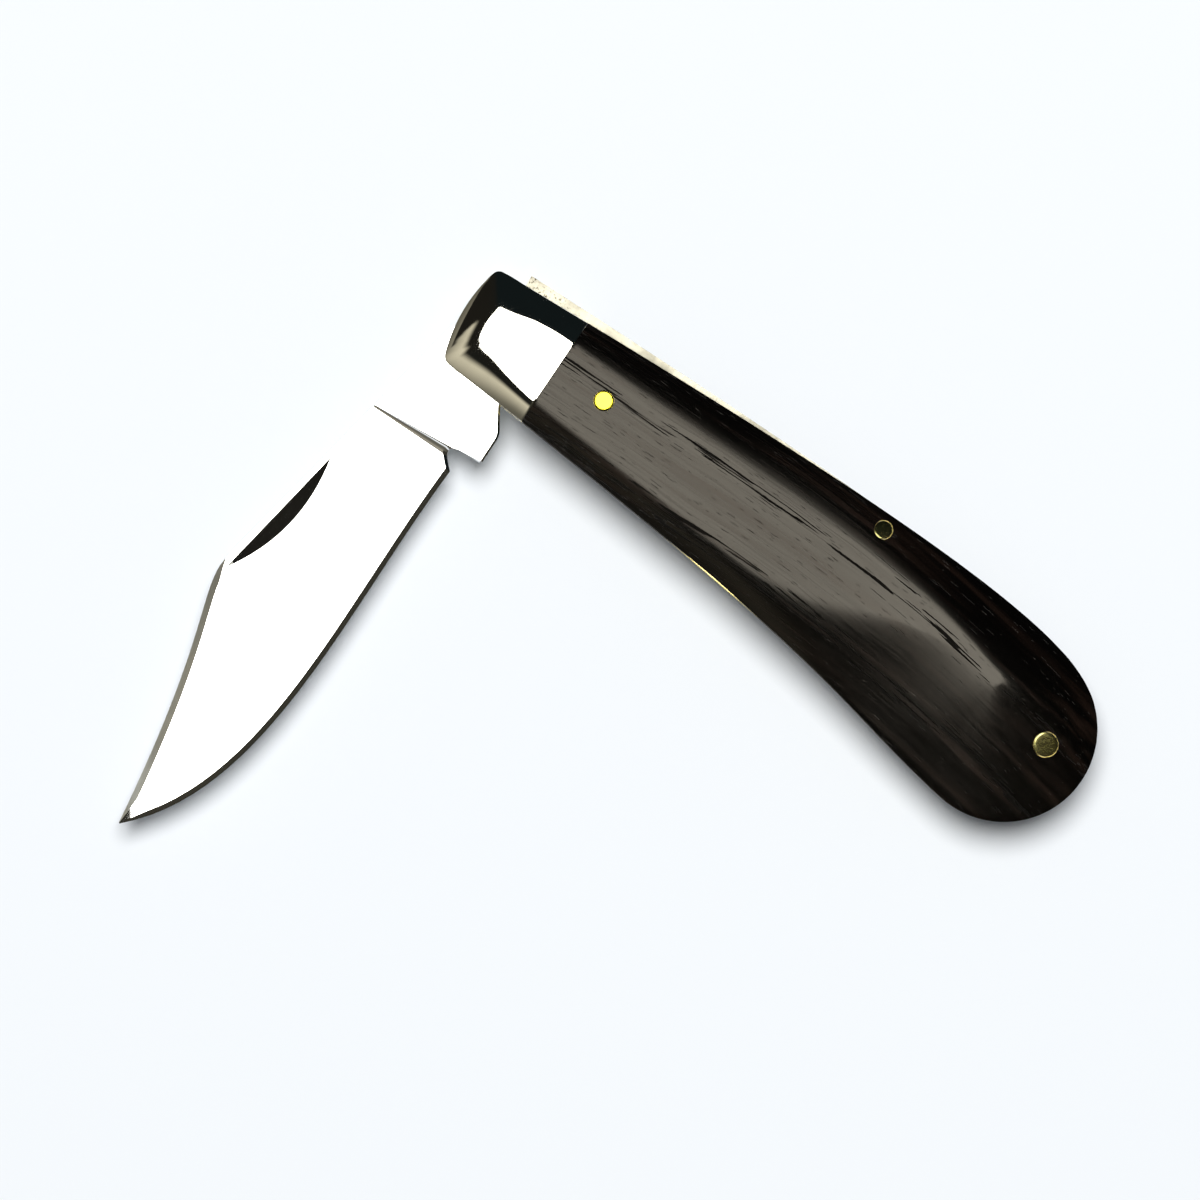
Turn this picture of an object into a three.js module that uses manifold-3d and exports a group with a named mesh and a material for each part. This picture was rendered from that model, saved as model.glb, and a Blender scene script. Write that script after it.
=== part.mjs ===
// A folding pocket knife with one clip point blade on a slip joint. The blade is half open and
// the knife lies on its rear side.
// Millimetres. The blade turns about the Z axis through the origin. +X runs from the pivot to
// the butt, +Y to the back, and +Z up from the table.

import * as THREE from "three";
import * as BufferGeometryUtils from "three/addons/utils/BufferGeometryUtils.js";
import Module from "manifold-3d";

const wasm = await Module();
wasm.setup();

// Thicknesses, from side to side
const BLADE_STOCK = 2.2;
const BLADE_SIDE_PLAY = 0.05;
const LINER_STOCK = 0.8;
const COVER_HEIGHT = 3.3;
const COVER_WALL = 1.8;
const COVER_WALL_AT_BUTT = 0.7;

// Handle, seen from the side
const FRONT_REACH = 7.6;
const FRONT_BULGE = 1.1;
const FRONT_CORNER = 0.9;
const BACK_HEIGHT = 7.6;
const BELLY_HEIGHT_AT_FRONT = 5.43;
const BELLY_SLOPE_AT_FRONT = 0.127;
const BUTT_RADIUS = 11.45;
const BUTT_ARC_TOP = 52;
const BUTT_ARC_BOTTOM = -102;
const BUTT_PIN_MARGIN = 6.02;
const BUTT_PIN_BEARING = 10;
const JOIN_REACH = 5.95;
const JOIN_SLANT = 0.057;
const LINER_REVEAL = 0.12;
const FACE_GAP = 0.02;

// How full the long curves are: the reach of each handle of a cubic, as a share of its span
const BACK_FULLNESS = [0.75, 0.083];
const BELLY_FULLNESS = [0.803, 0.242];

// The flat on top of a cover: it is widest at the waist and follows a crest line to the butt
const FLAT_NOSE_REACH = 3.7;
const FLAT_NOSE_TOP = 2.4;
const FLAT_NOSE_BOTTOM = -0.4;
const CREST_START = [-1, 0.9];
const CREST_WAIST = [38, -3.1];
const CREST_BEFORE_BUTT = [-15, 6.9];
const CREST_END_FROM_BUTT = [-4.2, 4.85];
const FLAT_HALF_AT_JOIN = 3.7;
const FLAT_HALF_AT_WAIST = 4.2;
const FLAT_HALF_AT_END = 0.4;

// How a cover curves from that flat to its rim: 1 is a straight slope, 2 a parabola
const CROWN_POWER = 2;
const CROWN_POWER_AT_BUTT = 1.5;

// Blade, in its own frame: u from the pivot to the tip along the spine, v to the cutting edge
const BLADE_REACH = 75.3;
const TIP_DROP = 7.5;
const SPINE_HEIGHT = 7.3;
const SPINE_HEIGHT_AT_CLIP = 6.48;
const CLIP_START = 42.85;
const CLIP_LEAVES_BY = [4.89, 0.09];
const CLIP_ARRIVES_BY = [25.2, 8.98];
const HEEL = [15.9, 5.25];
const HEEL_HOLLOW = 0.8;
const EDGE_SLOPE_AT_HEEL = 0.155;
const EDGE_SLOPE_AT_TIP = 0.688;
const EDGE_FULLNESS = [0.357, 0.25];
const PLUNGE_AT_SPINE = 16.7;
const PLUNGE_AT_EDGE = [13.6, 3.45];
const PLUNGE_WIDTH_AT_SPINE = 0.32;
const PLUNGE_WIDTH_AT_EDGE = 1.25;
const PLUNGE_LAP = 0.2;
const PLUNGE_POWER = 1.4;
const RICASSO_CORNER = [13.25, 4.1];
const GRIND_STEP = 0.18;
const EDGE_STOCK = 0.36;
const EDGE_BEVEL = 0.68;
const EDGE_LAND = 0.06;
const TIP_STOCK = 0.6;
const SWEDGE_WIDTH = 0.9;
const SWEDGE_SLIVER = 0.05;
const SWEDGE_RUN_IN = 2.5;
const SWEDGE_LAND = 0.3;
const POINT_LENGTH = 0.15;
const POINT_NARROWS_FROM = 2;
const NICK_START = [25.0, -6.25];
const NICK_END = [43.8, -5.68];
const NICK_BULGE = 2.0;
const NICK_DEPTH = 0.45;
const NICK_OVERCUT = 0.3;

// Tang and slip joint
const TANG_FLAT = 4.6;
const SPRING_LIFT = 1.35;
const SPRING_CLEARANCE = 0.02;
const SPRING_REACH = 2.6;
const SHOULDER_GAP = 0.3;
const KICK = [12.5, 7.3];
const KICK_LENGTH = 4.2;
const KICK_ROUND = 0.9;
const NOTCH_FLOOR = [5.1, 3.25];
const NOTCH_IN_FULLNESS = 0.6;
const NOTCH_OUT_FULLNESS = [1.2, 1.4];
const TANG_FLAT_AHEAD = 3.2;
const REST_ANGLE = -104.6;

// Backspring
const SPRING_STOCK = BLADE_STOCK + 2 * BLADE_SIDE_PLAY;
const SEAT_BEYOND_KICK = 0.3;
const SPRING_MIDDLE = 4;
const SPRING_AT_BUTT = 4.5;
const SPRING_BEND_POWER = 1.15;
const TIP_GAP = 0.8;
const BUTT_WALL = 3.4;
const BUTT_BLOCK_END = -48;

// Pins
const PIN_PLAY = 0.05;
const PIVOT_RADIUS = 1.6;
const CENTRE_PIN_REACH = 50.4;
const CENTRE_PIN_RADIUS = 1.1;
const BUTT_PIN_RADIUS = 1.5;
const SCALE_PIN = [12.9, 0.36];
const SCALE_PIN_RADIUS = 1.2;
const RIVET_RADIUS = 0.9;
const RIVET_REACH = 3.4;
const RIVET_BELOW_BACK = 4.4;
const RIVET_ABOVE_BELLY = 2.23;

// How finely round stretches are cut
const CURVE_STEPS = 24;
const ARC_STEPS = 18;
const CROWN_STEPS = 6;
const CORNER_STEPS = 3;
const PLUNGE_STEPS = 12;
const NICK_STEPS = 16;
const CLIP_CROWDING = 1.4;
const CREST_STEPS = 300;
const PIN_SIDES = 32;
const OVERRUN = 1;
const MERGE_WITHIN = 1e-5;

const degrees = THREE.MathUtils.degToRad;
const toDegrees = THREE.MathUtils.radToDeg;
const lerp = THREE.MathUtils.lerp;
const ramp = THREE.MathUtils.smoothstep;
const vec = (x, y) => new THREE.Vector2(x, y);

// Levels up the stack
const SIDE_STACK = LINER_STOCK + COVER_HEIGHT;
const MIDDLE = SIDE_STACK + SPRING_STOCK / 2;
const TOTAL_THICKNESS = 2 * MIDDLE;

// Where the blade stops: shut, its kick rests on the spring
const kickReach = Math.hypot(...KICK);
const kickBearing = Math.atan2(KICK[1], KICK[0]);
const shutAngle = Math.asin(TANG_FLAT / kickReach) - kickBearing;
const tipReach = Math.hypot(BLADE_REACH, TIP_DROP);
const tipBearing = Math.atan2(TIP_DROP, BLADE_REACH);
const shutTipHeight = tipReach * Math.sin(shutAngle + tipBearing);
const blockReach = tipReach + TIP_GAP;
const buttPin = vec(
  Math.sqrt(blockReach ** 2 - shutTipHeight ** 2) + BUTT_WALL + BUTT_PIN_RADIUS,
  shutTipHeight
);
const buttCentre = vec(BUTT_PIN_MARGIN - BUTT_RADIUS, 0)
  .rotateAround(vec(0, 0), degrees(BUTT_PIN_BEARING))
  .add(buttPin);

// Points on curves

function arcPoints(centre, radius, from, to, steps) {
  const points = [];
  for (let i = 0; i <= steps; i++) {
    const angle = lerp(degrees(from), degrees(to), i / steps);
    points.push(vec(Math.cos(angle), Math.sin(angle)).multiplyScalar(radius).add(centre));
  }
  return points;
}

function cubic(start, startWay, end, endWay, fullness) {
  const span = Math.abs(end.x - start.x);
  return new THREE.CubicBezierCurve(
    start,
    start.clone().addScaledVector(startWay, fullness[0] * span),
    end.clone().addScaledVector(endWay, -fullness[1] * span),
    end
  );
}

function heightOn(points, x) {
  for (let i = 1; i < points.length; i++) {
    const [a, b] = [points[i - 1], points[i]];
    if ((x - a.x) * (x - b.x) <= 0 && a.x !== b.x) {
      return lerp(a.y, b.y, (x - a.x) / (b.x - a.x));
    }
  }
  return x < points[0].x ? points[0].y : points[points.length - 1].y;
}

// Handle curves, from front to butt

const frontTop = vec(FRONT_BULGE - FRONT_REACH, BACK_HEIGHT);
const frontBottom = vec(FRONT_BULGE - FRONT_REACH, -BELLY_HEIGHT_AT_FRONT);
const buttPoint = (angle) =>
  vec(BUTT_RADIUS, 0).rotateAround(vec(0, 0), degrees(angle)).add(buttCentre);
const buttTop = buttPoint(BUTT_ARC_TOP);
const buttBottom = buttPoint(BUTT_ARC_BOTTOM);
const wayAt = (angle) => vec(-Math.sin(degrees(angle)), Math.cos(degrees(angle)));
const backCurve = cubic(
  frontTop, vec(1, 0), buttTop, wayAt(BUTT_ARC_TOP).negate(), BACK_FULLNESS
);
const bellyCurve = cubic(
  frontBottom, vec(1, -BELLY_SLOPE_AT_FRONT), buttBottom, wayAt(BUTT_ARC_BOTTOM), BELLY_FULLNESS
);
const backLine = backCurve.getPoints(8 * CURVE_STEPS);

function trimmed(curve) {
  const length = curve.getLength();
  const points = [];
  for (let i = 0; i <= CURVE_STEPS; i++) {
    points.push(curve.getPointAt(lerp(FRONT_CORNER / length, 1, i / CURVE_STEPS)));
  }
  return points;
}

// The front of the bolsters: a shallow arc with a small round at each corner
function frontPoints(bellyStart, backStart) {
  const corners = new THREE.QuadraticBezierCurve(
    frontTop, vec(-FRONT_REACH - FRONT_BULGE, (frontTop.y + frontBottom.y) / 2), frontBottom
  );
  const share = FRONT_CORNER / corners.getLength();
  const points = [];
  const topRound = new THREE.QuadraticBezierCurve(backStart, frontTop, corners.getPointAt(share));
  const bottomRound = new THREE.QuadraticBezierCurve(
    corners.getPointAt(1 - share), frontBottom, bellyStart
  );
  points.push(...topRound.getPoints(CORNER_STEPS).slice(1));
  for (let i = 1; i < ARC_STEPS / 2; i++) {
    points.push(corners.getPointAt(lerp(share, 1 - share, (2 * i) / ARC_STEPS)));
  }
  points.push(...bottomRound.getPoints(CORNER_STEPS).slice(0, -1));
  return points;
}

const bellyRun = trimmed(bellyCurve);
const backRun = trimmed(backCurve).reverse();
const buttRun = arcPoints(buttCentre, BUTT_RADIUS, BUTT_ARC_BOTTOM, BUTT_ARC_TOP, ARC_STEPS);
const frontRun = frontPoints(bellyRun[0], backRun[backRun.length - 1]);

// The whole rim, anticlockwise from the front of the belly
const rim = [...bellyRun, ...buttRun.slice(1, -1), ...backRun, ...frontRun];

function inwards(points, index) {
  const before = points[(index + points.length - 1) % points.length];
  const after = points[(index + 1) % points.length];
  const way = after.clone().sub(before).normalize();
  return vec(-way.y, way.x);
}

function insetOutline(points, inset) {
  return points.map((p, i) => p.clone().addScaledVector(inwards(points, i), inset));
}

// The edge of the flat on a cover, one point for each point of the rim

const crest = new THREE.SplineCurve([
  vec(...CREST_START),
  vec(...CREST_WAIST),
  vec(...CREST_BEFORE_BUTT).add(buttCentre),
  vec(...CREST_END_FROM_BUTT).add(buttCentre),
]);
const crestRun = crest.getPoints(CREST_STEPS);

function flatHalfWidth(x) {
  const toWaist = ramp(x, JOIN_REACH, CREST_WAIST[0]);
  const toEnd = ramp(x, CREST_WAIST[0], buttCentre.x + CREST_END_FROM_BUTT[0]);
  return lerp(lerp(FLAT_HALF_AT_JOIN, FLAT_HALF_AT_WAIST, toWaist), FLAT_HALF_AT_END, toEnd);
}

function flatScalePoint(p) {
  const nearest = crestRun.reduce((best, q) => (q.distanceTo(p) < best.distanceTo(p) ? q : best));
  return nearest.clone().lerp(p, flatHalfWidth(nearest.x) / nearest.distanceTo(p));
}

function flatNosePoint(p) {
  const across = (FLAT_NOSE_TOP - FLAT_NOSE_BOTTOM) / (frontTop.y - frontBottom.y);
  const along = (FRONT_REACH - FLAT_NOSE_REACH) / FRONT_REACH;
  return vec(
    -FLAT_NOSE_REACH + (p.x + FRONT_REACH) * along,
    FLAT_NOSE_BOTTOM + (p.y - frontBottom.y) * across
  );
}

function flatPoint(p) {
  const nose = 1 - ramp(p.x, -FRONT_REACH, JOIN_REACH);
  return flatScalePoint(p).lerp(flatNosePoint(p), nose);
}

// Solids

function toSolid(geometry) {
  const bare = geometry.clone();
  bare.deleteAttribute("normal");
  bare.deleteAttribute("uv");
  const merged = BufferGeometryUtils.mergeVertices(bare, MERGE_WITHIN);
  return new wasm.Manifold(
    new wasm.Mesh({
      numProp: 3,
      vertProperties: new Float32Array(merged.attributes.position.array),
      triVerts: new Uint32Array(merged.index.array),
    })
  );
}

function toGeometry(solid) {
  const mesh = solid.getMesh();
  const geometry = new THREE.BufferGeometry();
  geometry.setAttribute("position", new THREE.BufferAttribute(mesh.vertProperties, 3));
  geometry.setIndex(new THREE.BufferAttribute(mesh.triVerts, 1));
  geometry.computeVertexNormals();
  return geometry;
}

function enclosedVolume(positions, triangles) {
  let volume = 0;
  for (const [a, b, c] of triangles) {
    volume += positions[a].dot(positions[b].clone().cross(positions[c])) / 6;
  }
  return volume;
}

// A closed surface from points and triangles, turned so that its faces point out
function closedSurface(positions, triangles) {
  const inside = enclosedVolume(positions, triangles) < 0;
  const index = triangles.flatMap(([a, b, c]) => (inside ? [a, c, b] : [a, b, c]));
  const geometry = new THREE.BufferGeometry();
  geometry.setAttribute(
    "position",
    new THREE.Float32BufferAttribute(positions.flatMap((p) => p.toArray()), 3)
  );
  geometry.setIndex(index);
  return toSolid(geometry);
}

// A skin over closed rings of equally many points, with both ends filled in
function skinned(rings, startFaces, endFaces) {
  const count = rings[0].length;
  const positions = rings.flat();
  const triangles = [];
  for (let r = 1; r < rings.length; r++) {
    for (let i = 0; i < count; i++) {
      const a = (r - 1) * count + i;
      const b = (r - 1) * count + ((i + 1) % count);
      triangles.push([a, b, b + count], [a, b + count, a + count]);
    }
  }
  const last = (rings.length - 1) * count;
  startFaces.forEach(([a, b, c]) => triangles.push([a, c, b]));
  endFaces.forEach(([a, b, c]) => triangles.push([last + a, last + b, last + c]));
  return closedSurface(positions, triangles);
}

function fan(count) {
  return Array.from({ length: count - 2 }, (_, i) => [0, i + 1, i + 2]);
}

// A section carried along a run of stations
function lofted(sections) {
  const faces = fan(sections[0].length);
  return skinned(sections, faces, faces);
}

function plate(outline, bottom, thickness) {
  const geometry = new THREE.ExtrudeGeometry(new THREE.Shape(outline), {
    depth: thickness,
    bevelEnabled: false,
    curveSegments: 1,
  });
  geometry.translate(0, 0, bottom);
  return toSolid(geometry);
}

function rod(x, y, radius, bottom, top) {
  const geometry = new THREE.CylinderGeometry(radius, radius, top - bottom, PIN_SIDES);
  geometry.rotateX(Math.PI / 2);
  geometry.translate(x, y, (bottom + top) / 2);
  return toSolid(geometry);
}

function drilled(solid, holes) {
  return holes.reduce(
    (left, [x, y, radius]) =>
      left.subtract(rod(x, y, radius + PIN_PLAY, -OVERRUN, TOTAL_THICKNESS + OVERRUN)),
    solid
  );
}

const centrePinHeight = heightOn(backLine, CENTRE_PIN_REACH) - SPRING_MIDDLE / 2;
const pivotHole = [0, 0, PIVOT_RADIUS];
const centreHole = [CENTRE_PIN_REACH, centrePinHeight, CENTRE_PIN_RADIUS];
const buttHole = [buttPin.x, buttPin.y, BUTT_PIN_RADIUS];
const scaleHole = [...SCALE_PIN, SCALE_PIN_RADIUS];
const rivetHoles = [
  [RIVET_REACH, BACK_HEIGHT - RIVET_BELOW_BACK, RIVET_RADIUS],
  [RIVET_REACH, RIVET_ABOVE_BELLY - BELLY_HEIGHT_AT_FRONT, RIVET_RADIUS],
];

// A liner lies on each side of the blade and the backspring
function liner(bottom) {
  const holes = [pivotHole, centreHole, buttHole, scaleHole, ...rivetHoles];
  return drilled(plate(rim, bottom, LINER_STOCK), holes);
}

// How high a cover stands at a share of the way from its rim to its flat
function coverHeight(x, share) {
  const toButt = ramp(x, CREST_WAIST[0], buttCentre.x);
  const wall = lerp(COVER_WALL, COVER_WALL_AT_BUTT, toButt);
  const power = lerp(CROWN_POWER, CROWN_POWER_AT_BUTT, toButt);
  return lerp(wall, COVER_HEIGHT, 1 - (1 - share) ** power);
}

// One side's cover before it is cut and drilled: an upright wall, a crown and a flat
function coverBlank(side) {
  const outer = insetOutline(rim, LINER_REVEAL);
  const flat = rim.map(flatPoint);
  const seat = MIDDLE + side * (SPRING_STOCK / 2 + LINER_STOCK);
  const level = (height) => seat + side * height;
  const rings = [outer.map((p) => new THREE.Vector3(p.x, p.y, level(0)))];
  for (let i = 0; i <= CROWN_STEPS; i++) {
    const share = i / CROWN_STEPS;
    rings.push(
      outer.map((p, j) => {
        const spot = p.clone().lerp(flat[j], share);
        return new THREE.Vector3(spot.x, spot.y, level(coverHeight(p.x, share)));
      })
    );
  }
  return skinned(
    rings,
    THREE.ShapeUtils.triangulateShape(outer, []),
    THREE.ShapeUtils.triangulateShape(flat, [])
  );
}

// A block that holds everything on one side of the slanted join between bolster and scale
function joinCutter(side, gap) {
  const size = 4 * tipReach;
  const geometry = new THREE.BoxGeometry(size, size, size);
  geometry.translate((side * size) / 2 + side * gap, 0, 0);
  geometry.rotateZ(-Math.atan(JOIN_SLANT));
  geometry.translate(JOIN_REACH, 0, 0);
  return toSolid(geometry);
}

const covers = { front: coverBlank(1), rear: coverBlank(-1) };

function bolster(cover) {
  const blank = cover.intersect(joinCutter(-1, FACE_GAP / 2));
  return drilled(blank, [pivotHole, ...rivetHoles]);
}

function scale(cover) {
  const blank = cover.intersect(joinCutter(1, FACE_GAP / 2));
  return drilled(blank, [centreHole, buttHole, scaleHole]);
}

// A pin that is ground flush with the covers it comes through
function throughPin([x, y, radius]) {
  const whole = rod(x, y, radius, -OVERRUN, TOTAL_THICKNESS + OVERRUN);
  const middle = rod(x, y, radius, COVER_HEIGHT, TOTAL_THICKNESS - COVER_HEIGHT);
  return middle.add(whole.intersect(covers.front)).add(whole.intersect(covers.rear));
}

// A short pin through one cover and its liner
function sidePin([x, y, radius], side) {
  const cover = side > 0 ? covers.front : covers.rear;
  const inner = MIDDLE + (side * SPRING_STOCK) / 2;
  const seat = inner + side * LINER_STOCK;
  const inLiner = rod(x, y, radius, Math.min(inner, seat), Math.max(inner, seat));
  const whole = rod(x, y, radius, -OVERRUN, TOTAL_THICKNESS + OVERRUN);
  return inLiner.add(whole.intersect(cover));
}

// Backspring: it follows the back and wraps the butt, and the tang holds its front end up

function springLiftAt(x) {
  const share = Math.max(0, (CENTRE_PIN_REACH - x) / CENTRE_PIN_REACH);
  return (SPRING_LIFT + SPRING_CLEARANCE) * share ** SPRING_BEND_POWER;
}

function springOutline() {
  const seatEnd = Math.sqrt(kickReach ** 2 - TANG_FLAT ** 2) + SEAT_BEYOND_KICK;
  const runEnd = buttCentre.x - BUTT_RADIUS / 3;
  const thicknessAt = (x) => {
    const toMiddle = ramp(x, seatEnd, CENTRE_PIN_REACH);
    const toButt = ramp(x, CENTRE_PIN_REACH, runEnd);
    return lerp(lerp(BACK_HEIGHT - TANG_FLAT, SPRING_MIDDLE, toMiddle), SPRING_AT_BUTT, toButt);
  };
  const outer = [];
  const inner = [];
  for (let i = 0; i <= CURVE_STEPS; i++) {
    const x = lerp(-SPRING_REACH, runEnd, i / CURVE_STEPS);
    const back = heightOn(backLine, x);
    const under = x < seatEnd ? TANG_FLAT : back - thicknessAt(x);
    outer.push(vec(x, back + springLiftAt(x)));
    inner.push(vec(x, under + springLiftAt(x)));
  }
  const shoulder = [];
  for (let i = 1; i < ARC_STEPS; i++) {
    const x = lerp(runEnd, buttTop.x, i / ARC_STEPS);
    shoulder.push(vec(x, heightOn(backLine, x)));
  }
  const round = arcPoints(buttCentre, BUTT_RADIUS, BUTT_ARC_TOP, BUTT_BLOCK_END, ARC_STEPS);
  const block = blockWall(inner[inner.length - 1]);
  return [...outer, ...shoulder, ...round, ...block, ...inner.reverse()].reverse();
}

// The face of the butt block stands clear of the circle that the blade's tip sweeps
function blockWall(springEnd) {
  const low = buttPoint(BUTT_BLOCK_END);
  const foot = Math.asin((low.y + BUTT_WALL / 2) / blockReach);
  const head = Math.asin((springEnd.y - SPRING_MIDDLE / 2) / blockReach);
  const wall = arcPoints(vec(0, 0), blockReach, toDegrees(foot), toDegrees(head), CORNER_STEPS);
  const wallEnd = wall[wall.length - 1];
  const fillet = new THREE.QuadraticBezierCurve(wallEnd, vec(wallEnd.x, springEnd.y), springEnd);
  return [...wall, ...fillet.getPoints(2 * CORNER_STEPS).slice(1, -1)];
}

function backspring() {
  const bar = plate(springOutline(), SIDE_STACK, SPRING_STOCK);
  return drilled(bar, [centreHole, buttHole]);
}

// Blade

const tip = vec(BLADE_REACH, TIP_DROP);
const heel = vec(...HEEL);
const edgeCurve = cubic(
  heel, vec(1, EDGE_SLOPE_AT_HEEL), tip, vec(1, -EDGE_SLOPE_AT_TIP), EDGE_FULLNESS
);
const clipTop = vec(CLIP_START, -SPINE_HEIGHT_AT_CLIP);
const clipCurve = new THREE.CubicBezierCurve(
  clipTop,
  clipTop.clone().add(vec(...CLIP_LEAVES_BY)),
  tip.clone().sub(vec(...CLIP_ARRIVES_BY)),
  tip
);
const spineStart = vec(SPRING_REACH + SHOULDER_GAP, -SPINE_HEIGHT);

function spineHeightAt(u) {
  return lerp(-SPINE_HEIGHT, -SPINE_HEIGHT_AT_CLIP, (u - spineStart.x) / (CLIP_START - spineStart.x));
}

const groundFrom = PLUNGE_AT_SPINE + 2 * PLUNGE_WIDTH_AT_SPINE;
const plungeTop = vec(PLUNGE_AT_SPINE, spineHeightAt(PLUNGE_AT_SPINE));
const plungeBottom = vec(...PLUNGE_AT_EDGE);
const groundTop = vec(groundFrom, spineHeightAt(groundFrom));

// Tang and ricasso, as far as the plunge line
function tangOutline() {
  const camReach = TANG_FLAT + SPRING_LIFT;
  const halfAngle = toDegrees(Math.acos(TANG_FLAT / camReach));
  const shutWay = 90 - toDegrees(shutAngle);
  const openWay = 270;
  const cam = arcPoints(vec(0, 0), camReach, shutWay + halfAngle, openWay - halfAngle, ARC_STEPS);
  const turned = (along, out) =>
    vec(along, out).rotateAround(vec(0, 0), degrees(shutWay - 90));
  const flatEnd = turned(TANG_FLAT_AHEAD, TANG_FLAT);
  const kick = vec(...KICK);
  const kickRear = kick.clone().sub(turned(KICK_LENGTH, SPRING_CLEARANCE));
  const floor = vec(...NOTCH_FLOOR);
  const notchIn = new THREE.QuadraticBezierCurve(
    flatEnd, vec(flatEnd.x + NOTCH_IN_FULLNESS, floor.y), floor
  );
  const notchOut = new THREE.QuadraticBezierCurve(
    floor, kickRear.clone().sub(vec(...NOTCH_OUT_FULLNESS)), kickRear
  );
  const notchEnd = notchOut.getPointAt(1 - KICK_ROUND / notchOut.getLength());
  const hump = new THREE.QuadraticBezierCurve(
    kickRear.clone().lerp(kick, KICK_ROUND / KICK_LENGTH), kickRear, notchEnd
  );
  const notchRun = notchOut.getPoints(2 * CORNER_STEPS).filter((p) => p.x < notchEnd.x);
  return [
    ...cam,
    vec(spineStart.x, -TANG_FLAT),
    spineStart,
    plungeTop,
    plungeBottom,
    vec(...RICASSO_CORNER),
    kick,
    ...hump.getPoints(2 * CORNER_STEPS),
    ...notchRun.reverse(),
    ...notchIn.getPoints(2 * CORNER_STEPS).reverse().slice(1),
  ];
}

// A station on the ground part, from 0 at the plunge to 1 at the tip, has a point on the spine
// and one on the edge
const clipLength = tip.distanceTo(clipTop);
const clipShare = clipLength / (CLIP_START - groundTop.x + clipLength);

function stationAt(t) {
  const alongSpine = t / (1 - clipShare);
  const top = alongSpine < 1
    ? groundTop.clone().lerp(clipTop, alongSpine)
    : clipCurve.getPointAt((t - 1 + clipShare) / clipShare);
  const bottom = edgeCurve.getPointAt(t);
  return { top, bottom, t, width: bottom.distanceTo(top) };
}

function bladeStations() {
  const last = 1 - POINT_LENGTH / tip.distanceTo(groundTop);
  const stations = [];
  for (let i = 0; i < CURVE_STEPS; i++) {
    stations.push(stationAt(lerp(0, 1 - clipShare, i / CURVE_STEPS)));
  }
  for (let i = 0; i <= CURVE_STEPS; i++) {
    stations.push(stationAt(lerp(1 - clipShare, last, (i / CURVE_STEPS) ** CLIP_CROWDING)));
  }
  return stations;
}

const bevelAt = ({ width }) => Math.min(EDGE_BEVEL, width / 4);
const narrowingAt = ({ width }) => Math.min(1, width / POINT_NARROWS_FROM);

// How thick the flat grind leaves the blade, at a distance from the spine
function groundStock(station, distance) {
  const atSpine = lerp(BLADE_STOCK - 2 * GRIND_STEP, TIP_STOCK, station.t);
  const stock = lerp(atSpine, EDGE_STOCK, distance / (station.width - bevelAt(station)));
  return lerp(EDGE_LAND, stock, narrowingAt(station));
}

// The section of the blade at a station: spine or swedge, flat grind and edge bevel
function grindSection(station) {
  const { top, bottom, width } = station;
  const isOnClip = top.x >= CLIP_START;
  const begun = THREE.MathUtils.clamp((top.x - CLIP_START) / SWEDGE_RUN_IN, 0, 1);
  const fullSwedge = isOnClip ? lerp(SWEDGE_SLIVER, SWEDGE_WIDTH, begun) : SWEDGE_WIDTH;
  const swedge = Math.min(fullSwedge, width / 4);
  const belowSwedge = groundStock(station, swedge);
  const land = Math.min(lerp(EDGE_LAND, SWEDGE_LAND, narrowingAt(station)), belowSwedge);
  const across = [
    [0, lerp(groundStock(station, 0), land, begun)],
    [swedge, belowSwedge],
    [width - bevelAt(station), groundStock(station, width - bevelAt(station))],
    [width, EDGE_LAND],
  ];
  const ring = (side) =>
    across.map(([distance, stock]) => {
      const spot = top.clone().lerp(bottom, distance / width);
      return new THREE.Vector3(spot.x, spot.y, MIDDLE + (side * stock) / 2);
    });
  return [...ring(1), ...ring(-1).reverse()];
}

// The plunge: full thickness at the ricasso line, and a slope that eases out into the grind.
// It widens from the spine to the edge, because more steel is ground away there. The edge is
// hollowed between the ricasso and the heel.
function plungeSection(first, along) {
  const left = (1 - along) ** 2;
  return grindSection(first).map((p) => {
    const share = vec(p.x, p.y).distanceTo(first.top) / first.width;
    const line = plungeTop.clone().lerp(plungeBottom, share);
    const run = lerp(PLUNGE_WIDTH_AT_SPINE, PLUNGE_WIDTH_AT_EDGE, share) * (1 - left);
    const reached = run / (p.x - line.x);
    const spot = line.clone().lerp(vec(p.x, p.y), reached);
    spot.y -= 4 * HEEL_HOLLOW * share * reached * (1 - reached);
    const surface = MIDDLE + (Math.sign(p.z - MIDDLE) * BLADE_STOCK) / 2;
    return new THREE.Vector3(spot.x, spot.y, lerp(p.z, surface, left ** PLUNGE_POWER));
  });
}

function plungeSections(first) {
  const sections = [plungeSection(first, 0).map((p) => p.setX(p.x - PLUNGE_LAP))];
  for (let i = 0; i <= PLUNGE_STEPS; i++) {
    sections.push(plungeSection(first, i / PLUNGE_STEPS));
  }
  return sections;
}

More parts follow.
